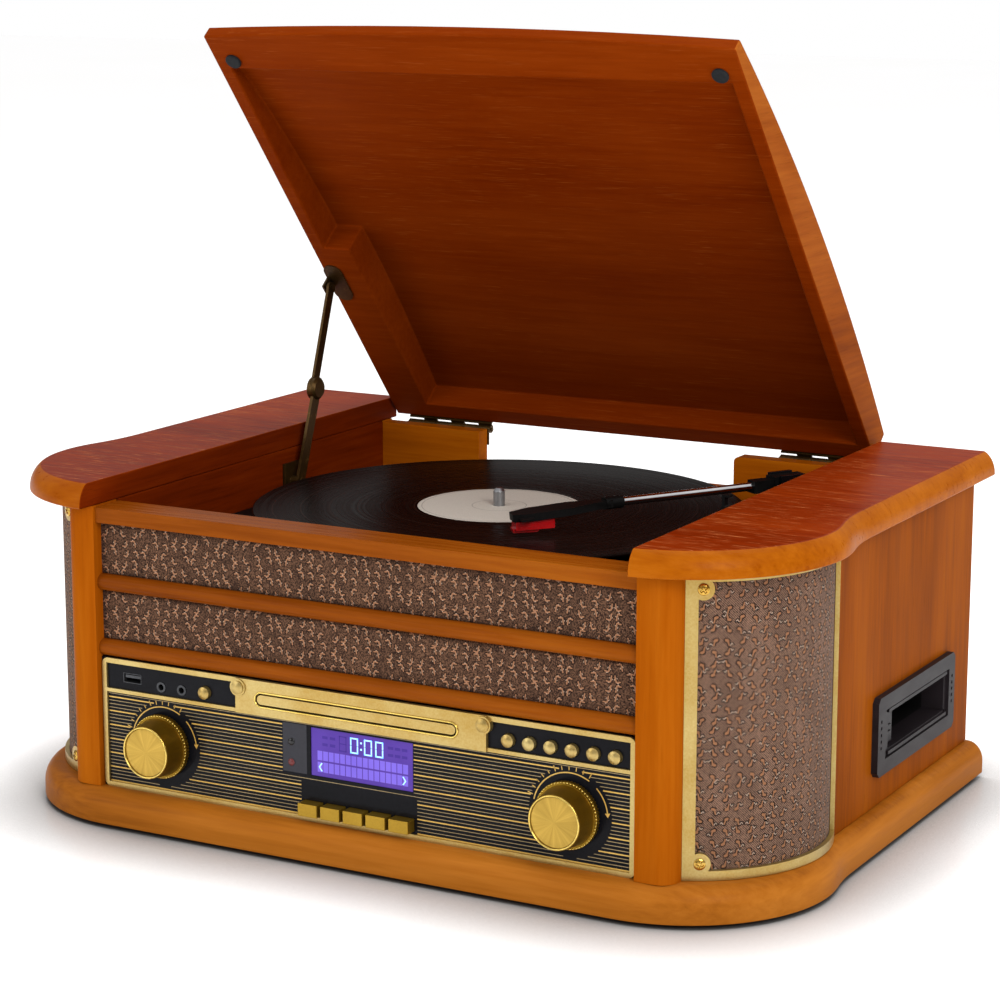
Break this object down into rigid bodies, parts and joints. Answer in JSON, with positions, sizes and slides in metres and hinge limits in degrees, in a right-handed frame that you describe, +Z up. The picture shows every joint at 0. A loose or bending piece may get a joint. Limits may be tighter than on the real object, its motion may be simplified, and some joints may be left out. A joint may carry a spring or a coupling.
{
  "type": "stereo music centre",
  "caption": "Retro wooden table-top music centre with a lidded turntable, disc tray, cassette slot, radio controls and curved cloth speaker corners.",
  "frame": {"origin": "centre of the bottom face of the box round the whole object, with the lid open as in the picture", "axes": "+X to the right as seen from the front, +Y towards the back, +Z up"},
  "size_m": [0.522, 0.3754, 0.4694],
  "materials": {
    "stained_wood": "satin",
    "wing_wood": "gloss",
    "dark_wood": "satin",
    "gold_trim": "satin",
    "gold_knob": "satin",
    "speaker_cloth": "matte",
    "panel_black": "gloss",
    "matt_black": "matte",
    "record_black": "gloss",
    "bezel_grey": "satin",
    "display_violet": "gloss",
    "rubber_black": "matte",
    "antique_brass": "satin",
    "chrome": "polished",
    "steel": "satin",
    "board_green": "matte",
    "red_plastic": "gloss"
  },
  "bodies": {
    "cabinet": {"base_plinth": "stained_wood", "rubber_feet": "rubber_black", "side_panels": "stained_wood", "front_posts": "stained_wood", "top_wings": "wing_wood", "front_rails": "stained_wood", "front_cloth_board": "speaker_cloth", "well_walls": "dark_wood", "back_panel": "stained_wood", "rear_sockets": "matt_black", "speaker_baffles": "dark_wood", "speaker_cloths": "speaker_cloth", "speaker_frames": "gold_trim", "frame_screws": "antique_brass", "loudspeakers": "matt_black", "fascia_panel": "panel_black", "fascia_trim": "gold_trim", "display_window": "display_violet", "front_sockets": "steel", "circuit_boards": "board_green", "disc_mechanism": "steel", "cassette_bezel": "bezel_grey", "cassette_mechanism": "matt_black", "deck_plate": "matt_black", "drive_motor": "steel", "drive_belt": "rubber_black", "arm_base": "matt_black", "cabinet_hinges": "antique_brass", "stay_foot_plate": "antique_brass"},
    "lid": {"lid_panel": "stained_wood", "lid_pads": "rubber_black", "lid_hinges": "antique_brass", "stay_lid_plate": "antique_brass"},
    "stay_upper": {"stay_upper_link": "antique_brass"},
    "stay_lower": {"stay_lower_link": "antique_brass"},
    "tray": {"disc_tray": "gold_trim"},
    "eject": {"eject_key": "bezel_grey"},
    "turntable": {"platter": "matt_black", "vinyl_record": "record_black"},
    "pulley": {"motor_pulley": "antique_brass"},
    "turret": {"arm_turret": "matt_black"},
    "arm": {"tonearm": "chrome", "stylus_cartridge": "red_plastic"},
    "clip": {"arm_clip": "matt_black"},
    "volume_push": {"volume_shaft": "steel"},
    "volume_turn": {"volume_knob": "gold_knob"},
    "tuning_push": {"tuning_shaft": "steel"},
    "tuning_turn": {"tuning_knob": "gold_knob"},
    "function": {"function_button": "gold_knob"},
    "play": {"play_button": "gold_knob"},
    "stop": {"stop_button": "gold_knob"},
    "back": {"back_button": "gold_knob"},
    "forward": {"forward_button": "gold_knob"},
    "record": {"record_button": "gold_knob"},
    "open": {"open_button": "gold_knob"},
    "menu": {"menu_button": "gold_knob"},
    "info": {"info_button": "gold_knob"},
    "scan": {"scan_button": "gold_knob"},
    "preset": {"preset_button": "gold_knob"},
    "enter": {"enter_button": "gold_knob"}
  },
  "joints": [
    {"name": "lid_hinge", "type": "hinge", "parent": "cabinet", "child": "lid", "pos_m": [0, 0.17131, 0.191], "axis": [-1, 0, 0], "range_deg": [-49.6, 0]},
    {"name": "stay_lower_hinge", "type": "hinge", "parent": "cabinet", "child": "stay_lower", "pos_m": [-0.1703, 0.0383, 0.172], "axis": [-1, 0, 0], "range_deg": [0, 70.19]},
    {"name": "stay_upper_hinge", "type": "hinge", "parent": "lid", "child": "stay_upper", "pos_m": [-0.1715, 0.08126, 0.29295], "axis": [-1, 0, 0], "range_deg": [-44.95, 0]},
    {"name": "tray_slide", "type": "slide", "parent": "cabinet", "child": "tray", "axis": [0, -1, 0], "range_m": [0, 0.13]},
    {"name": "eject_slide", "type": "slide", "parent": "cabinet", "child": "eject", "axis": [-1, 0, 0], "range_m": [0, 0.004], "stiffness_N_per_m": 300},
    {"name": "turntable_spin", "type": "hinge", "parent": "cabinet", "child": "turntable", "pos_m": [-0.004, 0.00581, 0.1642], "axis": [0, 0, 1], "continuous": true},
    {"name": "pulley_spin", "type": "hinge", "parent": "cabinet", "child": "pulley", "pos_m": [-0.06626, -0.03779, 0.1642], "axis": [0, 0, 1], "continuous": true},
    {"name": "arm_swing", "type": "hinge", "parent": "cabinet", "child": "turret", "pos_m": [0.1535, 0.08131, 0.174], "axis": [0, 0, 1], "range_deg": [-8, 31]},
    {"name": "arm_lift", "type": "hinge", "parent": "turret", "child": "arm", "pos_m": [0.1535, 0.08131, 0.1948], "axis": [-0.848, 0.5299, 0], "range_deg": [0, 10]},
    {"name": "clip_swing", "type": "hinge", "parent": "cabinet", "child": "clip", "pos_m": [0.15993, -0.0237, 0.1992], "axis": [0, -1, 0], "range_deg": [0, 80]},
    {"name": "volume_press", "type": "slide", "parent": "cabinet", "child": "volume_push", "axis": [0, 1, 0], "range_m": [0, 0.001], "stiffness_N_per_m": 800},
    {"name": "volume_spin", "type": "hinge", "parent": "volume_push", "child": "volume_turn", "pos_m": [-0.133, -0.17819, 0.0531], "axis": [0, -1, 0], "continuous": true},
    {"name": "tuning_press", "type": "slide", "parent": "cabinet", "child": "tuning_push", "axis": [0, 1, 0], "range_m": [0, 0.001], "stiffness_N_per_m": 800},
    {"name": "tuning_spin", "type": "hinge", "parent": "tuning_push", "child": "tuning_turn", "pos_m": [0.136, -0.17819, 0.0531], "axis": [0, -1, 0], "continuous": true},
    {"name": "function_press", "type": "slide", "parent": "cabinet", "child": "function", "axis": [0, 1, 0], "range_m": [0, 0.0012], "stiffness_N_per_m": 400},
    {"name": "play_press", "type": "slide", "parent": "cabinet", "child": "play", "axis": [0, 1, 0], "range_m": [0, 0.0012], "stiffness_N_per_m": 400},
    {"name": "stop_press", "type": "slide", "parent": "cabinet", "child": "stop", "axis": [0, 1, 0], "range_m": [0, 0.0012], "stiffness_N_per_m": 400},
    {"name": "back_press", "type": "slide", "parent": "cabinet", "child": "back", "axis": [0, 1, 0], "range_m": [0, 0.0012], "stiffness_N_per_m": 400},
    {"name": "forward_press", "type": "slide", "parent": "cabinet", "child": "forward", "axis": [0, 1, 0], "range_m": [0, 0.0012], "stiffness_N_per_m": 400},
    {"name": "record_press", "type": "slide", "parent": "cabinet", "child": "record", "axis": [0, 1, 0], "range_m": [0, 0.0012], "stiffness_N_per_m": 400},
    {"name": "open_press", "type": "slide", "parent": "cabinet", "child": "open", "axis": [0, 1, 0], "range_m": [0, 0.0012], "stiffness_N_per_m": 400},
    {"name": "menu_press", "type": "slide", "parent": "cabinet", "child": "menu", "axis": [0, 1, 0], "range_m": [0, 0.0012], "stiffness_N_per_m": 400},
    {"name": "info_press", "type": "slide", "parent": "cabinet", "child": "info", "axis": [0, 1, 0], "range_m": [0, 0.0012], "stiffness_N_per_m": 400},
    {"name": "scan_press", "type": "slide", "parent": "cabinet", "child": "scan", "axis": [0, 1, 0], "range_m": [0, 0.0012], "stiffness_N_per_m": 400},
    {"name": "preset_press", "type": "slide", "parent": "cabinet", "child": "preset", "axis": [0, 1, 0], "range_m": [0, 0.0012], "stiffness_N_per_m": 400},
    {"name": "enter_press", "type": "slide", "parent": "cabinet", "child": "enter", "axis": [0, 1, 0], "range_m": [0, 0.0012], "stiffness_N_per_m": 400}
  ],
  "couplings": [
    {"joint": "stay_lower_hinge", "follows": "lid_hinge", "ratio": -1.4137},
    {"joint": "stay_upper_hinge", "follows": "lid_hinge", "ratio": 0.9054},
    {"joint": "pulley_spin", "follows": "turntable_spin", "ratio": 11.6}
  ]
}
